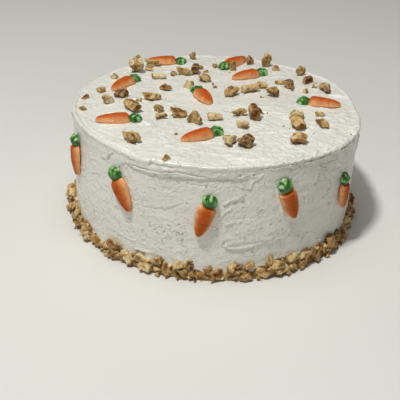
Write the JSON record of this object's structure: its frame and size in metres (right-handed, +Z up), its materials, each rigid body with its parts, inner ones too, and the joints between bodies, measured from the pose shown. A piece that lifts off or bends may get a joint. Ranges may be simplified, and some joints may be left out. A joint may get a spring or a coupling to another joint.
{
  "type": "carrot cake",
  "caption": "Uncut round frosted carrot cake with sugar carrots and chopped walnuts on top, sugar carrots on the side and a walnut border round the foot.",
  "frame": {"origin": "middle of the cake's flat base", "axes": "+Z up, -Y towards the front, +X to the right as seen from the front"},
  "size_m": [0.2315, 0.2252, 0.0995],
  "materials": {
    "frosting": "soft cream frosting with a dull sheen",
    "sugar_carrot": "pressed sugar, matt, orange root and green leaves",
    "walnut": "chopped walnut, dull, tan with darker skin"
  },
  "bodies": {
    "root": {"frosted_cake": "frosting", "walnut_border": "walnut", "carrot_top_1": "sugar_carrot", "carrot_top_2": "sugar_carrot", "carrot_top_3": "sugar_carrot", "carrot_top_4": "sugar_carrot", "carrot_top_5": "sugar_carrot", "carrot_top_6": "sugar_carrot", "carrot_top_7": "sugar_carrot", "carrot_top_8": "sugar_carrot", "carrot_side_01": "sugar_carrot", "carrot_side_02": "sugar_carrot", "carrot_side_03": "sugar_carrot", "carrot_side_04": "sugar_carrot", "carrot_side_05": "sugar_carrot", "carrot_side_06": "sugar_carrot", "carrot_side_07": "sugar_carrot", "carrot_side_08": "sugar_carrot", "carrot_side_09": "sugar_carrot", "carrot_side_10": "sugar_carrot", "carrot_side_11": "sugar_carrot", "carrot_side_12": "sugar_carrot", "walnut_01": "walnut", "walnut_02": "walnut", "walnut_03": "walnut", "walnut_04": "walnut", "walnut_05": "walnut", "walnut_06": "walnut", "walnut_07": "walnut", "walnut_08": "walnut", "walnut_09": "walnut", "walnut_10": "walnut", "walnut_11": "walnut", "walnut_12": "walnut", "walnut_13": "walnut", "walnut_14": "walnut", "walnut_15": "walnut", "walnut_16": "walnut", "walnut_17": "walnut", "walnut_18": "walnut", "walnut_19": "walnut", "walnut_20": "walnut", "walnut_21": "walnut", "walnut_22": "walnut", "walnut_23": "walnut", "walnut_24": "walnut", "walnut_25": "walnut", "walnut_26": "walnut", "walnut_27": "walnut", "walnut_28": "walnut", "walnut_29": "walnut", "walnut_30": "walnut", "walnut_31": "walnut", "walnut_32": "walnut", "walnut_33": "walnut", "walnut_34": "walnut", "walnut_35": "walnut", "walnut_36": "walnut", "walnut_37": "walnut", "walnut_38": "walnut"}
  },
  "joints": []
}
